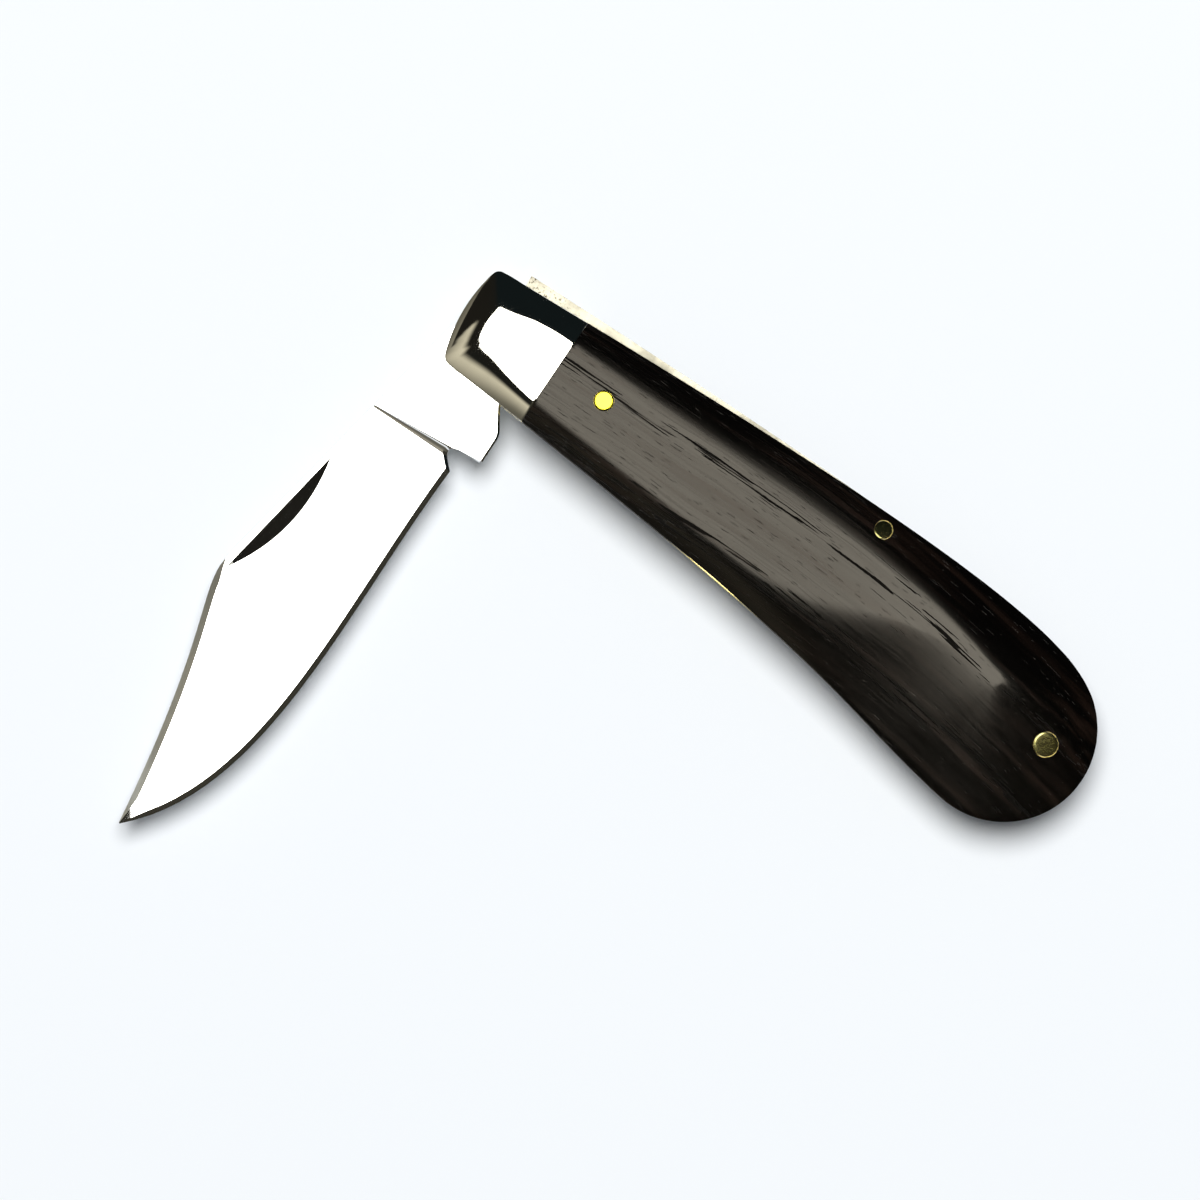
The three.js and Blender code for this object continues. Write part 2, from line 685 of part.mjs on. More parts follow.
// The nail nick: an upright wall on the spine side and a slope up to a curved edge
function nickCutter(side) {
  const start = vec(...NICK_START);
  const end = vec(...NICK_END);
  const surfaceAt = (p) => {
    const alongSpine = (p.x - groundTop.x) / (CLIP_START - groundTop.x);
    const station = stationAt(alongSpine * (1 - clipShare));
    return (side * groundStock(station, p.y - station.top.y)) / 2;
  };
  const sections = [];
  for (let i = 0; i <= NICK_STEPS; i++) {
    const along = lerp(MERGE_WITHIN, 1 - MERGE_WITHIN, i / NICK_STEPS);
    const swell = 4 * along * (1 - along);
    const wall = start.clone().lerp(end, along);
    const brim = wall.clone().add(vec(0, NICK_BULGE * swell));
    const deep = new THREE.Vector3(wall.x, wall.y, surfaceAt(wall) - side * NICK_DEPTH * swell);
    const level = new THREE.Vector3(brim.x, brim.y, surfaceAt(brim));
    const beyond = level.clone().lerp(deep, -NICK_OVERCUT / NICK_DEPTH);
    sections.push([deep, beyond, new THREE.Vector3(wall.x, wall.y, beyond.z)]);
  }
  return lofted(sections).translate([0, 0, MIDDLE]);
}

function blade() {
  const stations = bladeStations();
  const tang = plate(tangOutline(), MIDDLE - BLADE_STOCK / 2, BLADE_STOCK);
  const ground = lofted([...plungeSections(stations[0]), ...stations.map(grindSection)]);
  return drilled(tang.add(ground).subtract(nickCutter(1)), [pivotHole]);
}

// The knife

const NICKEL_SILVER = { color: 0xcfccbe, roughness: 0.12, metalness: 1 };
const STEEL = { color: 0xdfe0de, roughness: 0.1, metalness: 1 };
const BRASS = { color: 0xc9a646, roughness: 0.25, metalness: 1 };
const DARK_WOOD = { color: 0x2a211c, roughness: 0.45, metalness: 0 };

const knife = new THREE.Group();

function add(name, solid, finish, parent = knife) {
  const mesh = new THREE.Mesh(toGeometry(solid), new THREE.MeshStandardMaterial(finish));
  mesh.name = name;
  parent.add(mesh);
}

const openBlade = new THREE.Group();
openBlade.rotation.z = degrees(REST_ANGLE);
knife.add(openBlade);
add("blade", blade(), STEEL, openBlade);
add("backspring", backspring(), STEEL);
add("rear_liner", liner(SIDE_STACK - LINER_STOCK), BRASS);
add("front_liner", liner(SIDE_STACK + SPRING_STOCK), BRASS);
for (const [side, sign] of [["rear", -1], ["front", 1]]) {
  add(`${side}_bolster`, bolster(covers[side]), NICKEL_SILVER);
  add(`${side}_scale`, scale(covers[side]), DARK_WOOD);
  add(`${side}_scale_pin`, sidePin(scaleHole, sign), BRASS);
  add(`${side}_bolster_rivet_back`, sidePin(rivetHoles[0], sign), NICKEL_SILVER);
  add(`${side}_bolster_rivet_belly`, sidePin(rivetHoles[1], sign), NICKEL_SILVER);
}
add("pivot_pin", throughPin(pivotHole), NICKEL_SILVER);
add("centre_pin", throughPin(centreHole), BRASS);
add("butt_pin", throughPin(buttHole), BRASS);

export default knife;
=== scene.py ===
# %% [markdown]
# Folding pocket knife, half open on a white table.
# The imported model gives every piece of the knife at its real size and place. This lesson makes
# the surface that the eye sees: mirror polished bolsters, dark open-pored wood, brass pins and a
# ground blade. Each piece is made again on the measures of its node, then rides on the same body.

# %% Load the frame
import math

import bmesh
import bpy
from mathutils import Matrix, Vector


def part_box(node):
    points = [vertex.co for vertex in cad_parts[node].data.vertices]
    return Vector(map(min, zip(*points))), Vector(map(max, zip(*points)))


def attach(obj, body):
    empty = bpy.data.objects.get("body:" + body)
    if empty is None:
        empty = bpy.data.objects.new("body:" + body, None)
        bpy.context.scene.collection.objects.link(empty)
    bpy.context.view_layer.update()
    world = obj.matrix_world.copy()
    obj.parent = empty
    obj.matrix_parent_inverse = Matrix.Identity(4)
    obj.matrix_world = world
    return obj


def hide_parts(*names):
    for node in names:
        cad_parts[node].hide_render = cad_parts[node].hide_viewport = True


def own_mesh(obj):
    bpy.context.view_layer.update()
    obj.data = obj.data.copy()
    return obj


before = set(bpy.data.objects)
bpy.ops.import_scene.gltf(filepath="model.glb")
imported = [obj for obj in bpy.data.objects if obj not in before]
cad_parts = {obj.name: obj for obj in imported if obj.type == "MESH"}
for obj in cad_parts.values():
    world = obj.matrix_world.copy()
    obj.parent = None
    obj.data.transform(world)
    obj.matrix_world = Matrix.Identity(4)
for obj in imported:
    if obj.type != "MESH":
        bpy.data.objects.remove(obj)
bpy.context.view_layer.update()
MM = 0.001
CLOSE = MM / 1000
print("nodes in the frame:", sorted(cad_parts))

# %% [markdown]
# Operators act on whatever is selected, so each step starts by selecting one piece alone.
# Faces, edges and points are then picked in code, by a test on their place or direction, which
# is what a modeller does with a box select in a side view. Two places count as one when they are
# within CLOSE, a thousandth of a millimetre.

# %% Selecting, as by hand


def only(piece):
    if bpy.context.object and bpy.context.object.mode != "OBJECT":
        bpy.ops.object.mode_set(mode="OBJECT")
    bpy.ops.object.select_all(action="DESELECT")
    piece.select_set(True)
    bpy.context.view_layer.objects.active = piece


def edit(piece, kind="VERT", action="SELECT"):
    only(piece)
    bpy.ops.object.mode_set(mode="EDIT")
    bpy.ops.mesh.select_mode(type=kind)
    bpy.ops.mesh.select_all(action=action)


def pick(piece, kind, test):
    """Selects the points, edges or faces that pass a test, and returns how many they are."""
    edit(piece, kind, "DESELECT")
    mesh = bmesh.from_edit_mesh(piece.data)
    sequence = {"VERT": mesh.verts, "EDGE": mesh.edges, "FACE": mesh.faces}[kind]
    found = [element for element in sequence if test(element)]
    for element in found:
        element.select_set(True)
    mesh.select_flush_mode()
    bmesh.update_edit_mesh(piece.data)
    return len(found)


def done():
    bpy.ops.object.mode_set(mode="OBJECT")


def face_out(piece):
    edit(piece)
    bpy.ops.mesh.normals_make_consistent(inside=False)
    done()


def smooth(piece, degrees):
    """Smooth shading up to an angle, with the large faces kept flat."""
    only(piece)
    bpy.ops.object.shade_smooth_by_angle(angle=math.radians(degrees))
    bpy.ops.object.modifier_add(type="WEIGHTED_NORMAL")
    piece.modifiers[-1].keep_sharp = True
    bpy.ops.object.modifier_apply(modifier=piece.modifiers[-1].name)


# %% [markdown]
# A node comes as loose triangles. A copy of it is merged before anything is done to it, and the
# normals that came with the file are dropped, so that the copy can be shaded afresh.

# %% Copies of nodes, and measures taken from them


def copy_of(node, name):
    piece = bpy.data.objects.new(name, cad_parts[node].data.copy())
    bpy.context.scene.collection.objects.link(piece)
    piece.data.materials.clear()
    edit(piece)
    bpy.ops.mesh.remove_doubles(threshold=CLOSE)
    bpy.ops.mesh.customdata_custom_splitnormals_clear()
    done()
    return piece


def pin_measure(node):
    low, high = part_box(node)
    return (low + high) / 2, (high.x - low.x) / 2


PINS = [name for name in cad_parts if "pin" in name or "rivet" in name]
pin_place = {name: pin_measure(name) for name in PINS}
liner_low, liner_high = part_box("front_liner")
seat = liner_high.z
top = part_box("front_scale")[1].z
middle = top / 2
print("pins:", len(PINS), "- covers stand", round((top - seat) / MM, 2), "mm high")

# %% [markdown]
# The outline of the handle is drawn once and used by the covers and the liners. The liner node
# has it as a ring of straight cuts. The outer wall is kept, its upper edge becomes a curve with
# automatic handles, and the curve goes back to a mesh with five points for each cut. That gives
# round sides that a mirror finish can be put on.

# %% The outline of the handle
OUTLINE_STEPS = 5
NEAR = 0.1 * MM


def is_in_hole(point):
    return any(
        (point - centre).to_2d().length < radius + NEAR
        for centre, radius in pin_place.values()
    )


def handle_outline():
    ring = copy_of("front_liner", "outline")
    pick(ring, "FACE", lambda f: abs(f.normal.z) > 0.5 or is_in_hole(f.calc_center_median()))
    bpy.ops.mesh.delete(type="FACE")
    pick(ring, "VERT", lambda v: v.co.z < liner_high.z - NEAR)
    bpy.ops.mesh.delete(type="VERT")
    only(ring)
    bpy.ops.object.convert(target="CURVE")
    bpy.ops.object.mode_set(mode="EDIT")
    bpy.ops.curve.select_all(action="SELECT")
    bpy.ops.curve.spline_type_set(type="BEZIER")
    bpy.ops.curve.handle_type_set(type="AUTOMATIC")
    done()
    ring.data.resolution_u = OUTLINE_STEPS
    bpy.ops.object.convert(target="MESH")
    points = [v.co.to_2d() for v in ring.data.vertices]
    bpy.data.objects.remove(ring)
    area = sum(a.x * b.y - b.x * a.y for a, b in zip(points, points[1:] + points[:1]))
    return points if area > 0 else points[::-1]


outline = handle_outline()
print("outline:", len(outline), "points")

# %% [markdown]
# The covers are crowned. Seen in section they rise in a wall, turn over a small round, and
# follow a parabola up to a flat that runs along the middle of the handle and fades at the butt.
# The flat's edge follows a crest line, the same as in the solids. Its shape decides where the
# mirror of the bolster turns from the light overhead to the dark of the room, so it is drawn
# with care: the mirror shows every tenth of a degree.

# %% The crest line and the flat
JOIN_REACH = 5.95 * MM
JOIN_SLANT = 0.057
FRONT_REACH = 7.6 * MM
NOSE_X = -6 * MM
FLAT_NOSE_REACH = 3.7 * MM
FLAT_NOSE_TOP = 2.4 * MM
FLAT_NOSE_BOTTOM = -0.4 * MM
FLAT_HALF = {"join": 3.7 * MM, "waist": 4.2 * MM, "end": 0.4 * MM}
butt_pin = pin_place["butt_pin"][0].to_2d()
WAIST = Vector((38, -3.1)) * MM
CREST = [
    Vector((-1, 0.9)) * MM,
    WAIST,
    butt_pin + Vector((-20.35, 5.96)) * MM,
    butt_pin + Vector((-9.55, 3.91)) * MM,
]
BUTT_CENTRE_X = butt_pin.x - 5.35 * MM
CREST_STEPS = 40


def share_between(value, low, high):
    share = min(1, max(0, (value - low) / (high - low)))
    return share * share * (3 - 2 * share)


def mix(a, b, share):
    return a + (b - a) * share


def crest_line():
    """The smooth line through the crest points: each stretch leaves along its neighbours."""
    points = []
    for i in range(len(CREST) - 1):
        a, b = CREST[i], CREST[i + 1]
        leave = (b - CREST[max(i - 1, 0)]) / 2
        arrive = (CREST[min(i + 2, len(CREST) - 1)] - a) / 2
        for step in range(CREST_STEPS):
            t = step / CREST_STEPS
            points.append(
                a * (2 * t**3 - 3 * t**2 + 1)
                + leave * (t**3 - 2 * t**2 + t)
                + b * (3 * t**2 - 2 * t**3)
                + arrive * (t**3 - t**2)
            )
    return points + [CREST[-1]]


crest = crest_line()


def nearest_on_crest(point):
    best = crest[0]
    for a, b in zip(crest, crest[1:]):
        along = (point - a).dot(b - a) / (b - a).length_squared
        spot = mix(a, b, min(1, max(0, along)))
        if (spot - point).length < (best - point).length:
            best = spot
    return best


nose = [p for p in outline if p.x < NOSE_X]
front_top = max(nose, key=lambda p: p.y)
front_bottom = min(nose, key=lambda p: p.y)


def flat_point(point):
    """Where the flat's edge lies on the way in from a point of the outline."""
    near = nearest_on_crest(point)
    half = mix(FLAT_HALF["join"], FLAT_HALF["waist"], share_between(near.x, JOIN_REACH, WAIST.x))
    half = mix(half, FLAT_HALF["end"], share_between(near.x, WAIST.x, CREST[-1].x))
    on_scale = near + (point - near).normalized() * half
    across = (FLAT_NOSE_TOP - FLAT_NOSE_BOTTOM) / (front_top.y - front_bottom.y)
    along = (FRONT_REACH - FLAT_NOSE_REACH) / FRONT_REACH
    on_nose = Vector((
        -FLAT_NOSE_REACH + (point.x + FRONT_REACH) * along,
        FLAT_NOSE_BOTTOM + (point.y - front_bottom.y) * across,
    ))
    return mix(on_nose, on_scale, share_between(point.x, -FRONT_REACH, JOIN_REACH))


print("crest:", [tuple(round(c / MM, 1) for c in p) for p in CREST])

# %% [markdown]
# Wood shrinks and covers are fitted by hand. Nearly everywhere the cover hides its liner, but
# along the belly, near the waist, a hair of brass shows. Both rims are the outline, each set in
# by a small step that depends on the place. The flat's edge has its corners eased at the front,
# where a mirror would show them, and is left as it is over the wood.

# %% The rims of the covers and the liners
LINER_STEP = 0.07 * MM
COVER_STEP = 0.15 * MM
BRASS_SHOWS_AT = 35.5 * MM
BRASS_SHOWS_LENGTH = 5.5 * MM
FLAT_EASE = 0.8 * MM


def inwards(i):
    way = (outline[(i + 1) % len(outline)] - outline[i - 1]).normalized()
    return Vector((-way.y, way.x))


def brass_shows(point):
    off = (point.x - BRASS_SHOWS_AT) / BRASS_SHOWS_LENGTH
    return math.exp(-off * off) if point.y < 0 else 0


def rounded(ring, reach):
    """A ring with its corners eased: each point becomes the mean of the ring near it."""
    steps = [(p - ring[i - 1]).length for i, p in enumerate(ring)]
    places = [sum(steps[:i + 1]) for i in range(len(ring))]
    length = sum(steps)
    eased = []
    for place in places:
        mean = Vector((0, 0))
        total = 0
        for j, p in enumerate(ring):
            away = abs(places[j] - place)
            away = min(away, length - away)
            weight = math.exp(-((away / reach) ** 2)) * (steps[j] + steps[(j + 1) % len(ring)])
            mean += p * weight
            total += weight
        eased.append(mean / total)
    return eased


rim = [p + inwards(i) * COVER_STEP * brass_shows(p) for i, p in enumerate(outline)]
liner_rim = [p + inwards(i) * LINER_STEP * (1 - brass_shows(p)) for i, p in enumerate(outline)]
sharp_flat = [flat_point(p) for p in outline]
flat = [
    mix(eased, p, share_between(p.x, -FLAT_NOSE_REACH, JOIN_REACH))
    for p, eased in zip(sharp_flat, rounded(sharp_flat, FLAT_EASE))
]
print("rims:", len(rim), "points each")

# %% [markdown]
# A cover is grown as by hand: the outline is filled to a face, and the face is extruded again
# and again. After each extrusion its points are moved to their places on the next ring. A point
# knows its place in the ring by a number that it carries along, because an extruded point
# inherits it from the one it came from.

# %% Growing a solid ring by ring


def grown(name, rings):
    mesh = bpy.data.meshes.new(name)
    piece = bpy.data.objects.new(name, mesh)
    bpy.context.scene.collection.objects.link(piece)
    count = len(rings[0])
    mesh.from_pydata(rings[0], [(i, (i + 1) % count) for i in range(count)], [])
    mesh.attributes.new("order", "INT", "POINT").data.foreach_set("value", range(count))
    edit(piece)
    bpy.ops.mesh.edge_face_add()
    for ring in rings[1:]:
        bpy.ops.mesh.extrude_region()
        shape = bmesh.from_edit_mesh(mesh)
        order = shape.verts.layers.int["order"]
        for vert in shape.verts:
            if vert.select:
                vert.co = ring[vert[order]]
        bmesh.update_edit_mesh(mesh)
    done()
    mesh.attributes.remove(mesh.attributes["order"])
    face_out(piece)
    return piece


# %% [markdown]
# The section of a cover isn't the same all along. The wall is lower at the butt, and the crown
# goes from a parabola at the front to nearly a straight slope on the belly side of the swell,
# which is why the power of the curve changes with the place. The small round above the wall is
# where polishing has broken the edge.

# %% The crown of a cover
WALL = 1.8 * MM
WALL_AT_BUTT = 0.7 * MM
CROWN_POWER = 2
CROWN_POWER_AT_BUTT = 1.5
CROWN_POWER_ON_SWELL = 1.15
SWELL_X = 62 * MM
SIDE_BLEND = 6 * MM
CROWN_STEPS = 22
RIM_ROUND = 0.05 * MM
ROUND_STEPS = 4
HEIGHT = top - seat


def crown_height(point, share):
    to_butt = share_between(point.x, WAIST.x, BUTT_CENTRE_X)
    wall = mix(WALL, WALL_AT_BUTT, to_butt)
    on_back = mix(CROWN_POWER, CROWN_POWER_AT_BUTT, to_butt)
    to_swell = share_between(point.x, WAIST.x, SWELL_X)
    on_belly = mix(CROWN_POWER, CROWN_POWER_ON_SWELL, to_swell)
    side = share_between(point.y, butt_pin.y - SIDE_BLEND, butt_pin.y + SIDE_BLEND)
    return mix(wall, HEIGHT, 1 - (1 - share) ** mix(on_belly, on_back, side))


def cover_rings():
    start = [RIM_ROUND / (f - r).length for r, f in zip(rim, flat)]

    def at(share_of, height_of):
        spots = []
        for i, (r, f) in enumerate(zip(rim, flat)):
            spot = r.lerp(f, share_of(i))
            spots.append(Vector((spot.x, spot.y, seat + height_of(i))))
        return spots

    def wall(i):
        return crown_height(rim[i], 0)

    rings = [at(lambda i: 0, lambda i: 0), at(lambda i: 0, lambda i: wall(i) - RIM_ROUND)]
    for step in range(1, ROUND_STEPS):
        t = step / ROUND_STEPS
        rings.append(at(
            lambda i: start[i] * t * t,
            lambda i: (wall(i) - RIM_ROUND) * (1 - t) ** 2 + wall(i) * 2 * t * (1 - t)
            + crown_height(rim[i], start[i]) * t * t,
        ))
    for step in range(CROWN_STEPS + 1):
        t = step / CROWN_STEPS
        rings.append(at(
            lambda i: mix(start[i], 1, t),
            lambda i: crown_height(rim[i], mix(start[i], 1, t)),
        ))
    return rings


blank = grown("cover_blank", cover_rings())
print("cover blank:", len(blank.data.polygons), "faces")

# %% [markdown]
# The bolster and the scale are one surface, cut apart at a slanted join, as a cutler grinds both
# together after they are fixed. Bisect cuts the blank and fills the cut, and a bevel of a few
# hundredths breaks the sharp edges, so the join shows as a hairline.

# %% Bolster and scale are cut from the blank
JOIN_GAP = 0.02 * MM
JOIN_EDGE = 0.05 * MM
join_way = Vector((1, -JOIN_SLANT, 0)).normalized()


def duplicate(piece, name):
    twin = bpy.data.objects.new(name, piece.data.copy())
    bpy.context.scene.collection.objects.link(twin)
    return twin


def cut_cover(name, side):
    piece = duplicate(blank, name)
    place = Vector((JOIN_REACH, 0, 0)) + join_way * side * JOIN_GAP / 2
    edit(piece)
    bpy.ops.mesh.bisect(
        plane_co=place, plane_no=join_way, use_fill=True,
        clear_inner=side > 0, clear_outer=side < 0, threshold=CLOSE / 10,
    )

    def is_on_cut(vert):
        return abs((vert.co - place).dot(join_way)) < CLOSE

    pick(piece, "EDGE", lambda e: all(is_on_cut(v) for v in e.verts))
    bpy.ops.mesh.bevel(offset=JOIN_EDGE, segments=2, affect="EDGES")
    done()
    return piece


front_bolster = cut_cover("front_bolster_metal", -1)
front_scale = cut_cover("front_scale_wood", 1)
print("bolster:", len(front_bolster.data.polygons), "faces, scale:", len(front_scale.data.polygons))

# %% [markdown]
# Holes are drilled with a cylinder and a Boolean modifier. The scale's holes go right through and
# are a little wider than their pins, because the photograph shows a dark ring round each of them.
# The bolster is drilled from below only: its pins are ground flush, and nothing of them shows.

# %% Drilling
RING_GAP = 0.09 * MM
BLIND_WALL = 0.4 * MM
DRILL_SIDES = 64


def rod(name, centre, radius, low, high):
    only(blank)
    bpy.ops.mesh.primitive_cylinder_add(
        vertices=DRILL_SIDES, radius=radius, depth=high - low,
        location=(centre.x, centre.y, (low + high) / 2),
    )
    piece = bpy.context.object
    piece.name = name
    bpy.ops.object.transform_apply(location=True)
    return piece


def drill(piece, centre, radius, low, high):
    bit = rod("drill", centre, radius, low, high)
    only(piece)
    cut = piece.modifiers.new("hole", "BOOLEAN")
    cut.operation = "DIFFERENCE"
    cut.solver = "EXACT"
    cut.object = bit
    bpy.ops.object.modifier_apply(modifier="hole")
    bpy.data.objects.remove(bit)


def surface_at(point):
    """How high the cover's surface lies at a place."""
    hit, spot, _, _ = blank.ray_cast(Vector((point.x, point.y, top + MM)), Vector((0, 0, -1)))
    return spot.z if hit else top


for name in ("centre_pin", "butt_pin", "front_scale_pin"):
    centre, radius = pin_place[name]
    drill(front_scale, centre, radius + RING_GAP, seat - MM, top + MM)
for name in ("pivot_pin", "front_bolster_rivet_back", "front_bolster_rivet_belly"):
    centre, radius = pin_place[name]
    drill(front_bolster, centre, radius + RING_GAP, seat - MM, top - BLIND_WALL)
print("drilled:", len(front_scale.data.polygons), "faces on the scale")

# %% [markdown]
# The rear side is the front side mirrored at the middle of the knife. A mirror turns a shape
# inside out, so its faces are turned back.

# %% The rear side
COVER_SMOOTH = 28


def mirrored(piece, name):
    twin = duplicate(piece, name)
    twin.data.transform(Matrix.Translation((0, 0, 2 * middle)) @ Matrix.Scale(-1, 4, (0, 0, 1)))
    edit(twin)
    bpy.ops.mesh.flip_normals()
    done()
    return twin


rear_bolster = mirrored(front_bolster, "rear_bolster_metal")
rear_scale = mirrored(front_scale, "rear_scale_wood")
for piece in (front_bolster, rear_bolster, front_scale, rear_scale):
    smooth(piece, COVER_SMOOTH)

# %% [markdown]
# The liners are brass sheet. Their edge is all that shows, as a hairline between wood and steel,
# so it is given the round that polishing leaves on it.

# %% Liners
LINER_EDGE = 0.07 * MM
LINER_PLAY = 0.05 * MM


def liner(name):
    rings = [[Vector((p.x, p.y, z)) for p in liner_rim] for z in (liner_low.z, liner_high.z)]
    piece = grown(name, rings)
    pick(piece, "EDGE", lambda e: abs(e.verts[0].co.z - e.verts[1].co.z) < CLOSE)
    bpy.ops.mesh.bevel(offset=LINER_EDGE, segments=3, affect="EDGES")
    done()
    for pin in PINS:
        if not pin.startswith("rear"):
            centre, radius = pin_place[pin]
            drill(piece, centre, radius + LINER_PLAY, liner_low.z - MM, liner_high.z + MM)
    return piece


front_liner = liner("front_liner_brass")
rear_liner = mirrored(front_liner, "rear_liner_brass")
for piece in (front_liner, rear_liner):
    smooth(piece, COVER_SMOOTH)
print("liner:", len(front_liner.data.polygons), "faces")

# %% [markdown]
# A pin is a rod whose ends are dressed flush with the crown of the cover. The rod's end points
# are set on the cover's surface, the end face is inset ring by ring, and the rings are lifted a
# little to the gentle dome that hammering and polishing leave. The bolster's pins stop below its
# skin.

# %% Pins
PIN_DOME = 0.03 * MM
PIN_EDGE = 0.06 * MM
WORN_PIN_EDGE = 0.02 * MM
HIDDEN_BELOW_SKIN = BLIND_WALL + 0.05 * MM
PIN_SMOOTH = 50


def dressed_pin(name, node, ends=(1, -1), round_edge=PIN_EDGE):
    centre, radius = pin_place[node]
    low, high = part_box(node)
    piece = rod(name, centre, radius, low.z, high.z)
    for sign in ends:
        dress(piece, sign, round_edge)
    smooth(piece, PIN_SMOOTH)
    return piece


def dress(piece, sign, round_edge):
    """Sets one end of a pin on the cover and gives it its edge and its dome."""

    def skin(co):
        height = surface_at(co) - PIN_DOME
        return height if sign > 0 else 2 * middle - height

    pick(piece, "FACE", lambda f: f.normal.z * sign > 0.9)
    steps = (
        (0, -round_edge), (round_edge / 3, -round_edge / 4), (round_edge / 2, 0),
        (3 * PIN_EDGE, PIN_DOME / 2), (5 * PIN_EDGE, PIN_DOME),
    )
    for inset, lift in steps:
        if inset:
            bpy.ops.mesh.inset(thickness=inset, depth=0)
        mesh = bmesh.from_edit_mesh(piece.data)
        for vert in mesh.verts:
            if vert.select:
                vert.co.z = skin(vert.co) + sign * lift
        bmesh.update_edit_mesh(piece.data)
    done()


def hidden_pin(name, node):
    centre, radius = pin_place[node]
    low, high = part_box(node)
    ends = (max(low.z, HIDDEN_BELOW_SKIN), min(high.z, top - HIDDEN_BELOW_SKIN))
    piece = rod(name, centre, radius, *ends)
    smooth(piece, PIN_SMOOTH)
    return piece


# These two pins get a small worn edge, and later the darker brass colour that is painted shade.
worn_and_shade_painted_pins = [
    dressed_pin("centre_pin_brass", "centre_pin", round_edge=WORN_PIN_EDGE),
    dressed_pin("butt_pin_brass", "butt_pin", round_edge=WORN_PIN_EDGE),
]
bright_pins = [
    dressed_pin("front_scale_pin_brass", "front_scale_pin", ends=(1,)),
    dressed_pin("rear_scale_pin_brass", "rear_scale_pin", ends=(-1,)),
]
steel_pins = [
    hidden_pin(f"{node}_metal", node)
    for node in PINS
    if "rivet" in node or node == "pivot_pin"
]
print("pins:", [p.name for p in worn_and_shade_painted_pins + bright_pins + steel_pins])

# %% [markdown]
# The backspring is one bar of steel. Its front arm flexes when the blade turns: it stands proud
# while the blade is half open, and lies flush when the blade is shut or open. The bar is cut at
# the middle pin, out of sight between the liners, into an arm and a heel.

# %% Backspring
SPRING_EDGE = 0.09 * MM
SPRING_SHARP = math.radians(35)
SPRING_SMOOTH = 25
centre_pin = pin_place["centre_pin"][0]


def spring_part(name, is_arm):
    piece = copy_of("backspring", name)
    edit(piece)
    bpy.ops.mesh.bisect(
        plane_co=centre_pin, plane_no=(1, 0, 0), use_fill=True,
        clear_inner=not is_arm, clear_outer=is_arm, threshold=CLOSE / 10,
    )
    edit(piece, "EDGE", "DESELECT")
    bpy.ops.mesh.edges_select_sharp(sharpness=SPRING_SHARP)
    bpy.ops.mesh.bevel(offset=SPRING_EDGE, segments=2, affect="EDGES", clamp_overlap=True)
    done()
    smooth(piece, SPRING_SMOOTH)
    return piece


spring_arm = spring_part("spring_arm", True)
spring_heel = spring_part("spring_heel", False)
print("spring:", len(spring_arm.data.polygons), "and", len(spring_heel.data.polygons), "faces")

# %% [markdown]
# The blade is ground from the solid's own surfaces: the flat grind, the plunge, the swedge along
# the clip and the edge bevel meet in crisp lines that a knife grinder is proud of. Only the sharp
# outer edges are broken by a hair. The smoothing angle is small, so the bevels stay crisp and
# the hollow of the plunge, cut in small steps, turns smooth. The tang's kick has had its edges
# broken with a stone, in a broad slope that shows as a dark line round it.

# %% Blade
BLADE_EDGE = 0.035 * MM
BLADE_SMOOTH = 7.6
BLADE_SHARP = math.radians(60)
SAME_PLANE = math.radians(0.05)
TANG_EDGE = 0.28 * MM
TANG_EDGE_DROP = 0.16 * MM
TANG_SHOWS_FROM = 4.5 * MM
TANG_ENDS_AT = 13.4 * MM
BLADE_TURN = math.radians(-104.6)
along_blade = Vector((math.cos(BLADE_TURN), math.sin(BLADE_TURN), 0))
to_spine = Vector((math.sin(BLADE_TURN), -math.cos(BLADE_TURN), 0))
tang_low, tang_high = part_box("blade")


def is_tang_edge(edge):
    """An outer edge of the tang on the notch and kick side, on either face of it."""
    on_face = all(min(tang_high.z - v.co.z, v.co.z - tang_low.z) < CLOSE for v in edge.verts)
    in_reach = all(TANG_SHOWS_FROM < v.co.dot(along_blade) < TANG_ENDS_AT for v in edge.verts)
    on_kick_side = all(v.co.dot(to_spine) < 0 for v in edge.verts)
    return on_face and in_reach and on_kick_side and edge.calc_face_angle(0) > BLADE_SHARP


def ground_blade():
    piece = copy_of("blade", "blade_ground")
    edit(piece)
    bpy.ops.mesh.dissolve_limited(angle_limit=SAME_PLANE)
    print("tang edges:", pick(piece, "EDGE", is_tang_edge))
    bpy.ops.mesh.bevel(offset=TANG_EDGE, segments=1, affect="EDGES", clamp_overlap=False)
    mesh = bmesh.from_edit_mesh(piece.data)
    for vert in mesh.verts:
        for level, side in ((tang_high.z, 1), (tang_low.z, -1)):
            if vert.select and abs(vert.co.z - level + side * TANG_EDGE) < CLOSE:
                vert.co.z = level - side * TANG_EDGE_DROP
    bmesh.update_edit_mesh(piece.data)
    edit(piece, "EDGE", "DESELECT")
    bpy.ops.mesh.edges_select_sharp(sharpness=BLADE_SHARP)
    bpy.ops.mesh.bevel(offset=BLADE_EDGE, segments=2, affect="EDGES", clamp_overlap=True)
    done()
    smooth(piece, BLADE_SMOOTH)
    return piece


blade = ground_blade()
print("blade:", len(blade.data.polygons), "faces")

# %% [markdown]
# The swedge, the bevel along the clip, is left as it came from the belt, so it looks grey beside
# the polished flats. Its faces are found by where they lie and which way they lean, in the
# blade's own frame: along the spine, and across it to the cutting edge.

# %% The swedge's faces
CLIP_STARTS_AT = 42.8 * MM
SWEDGE_LEAN = math.radians(4)


def is_swedge(face):
    is_on_clip = Vector(face.center).dot(along_blade) > CLIP_STARTS_AT
    return is_on_clip and face.normal.dot(to_spine) > math.sin(SWEDGE_LEAN)


swedge = [face.index for face in blade.data.polygons if is_swedge(face)]
print("swedge:", len(swedge), "faces")

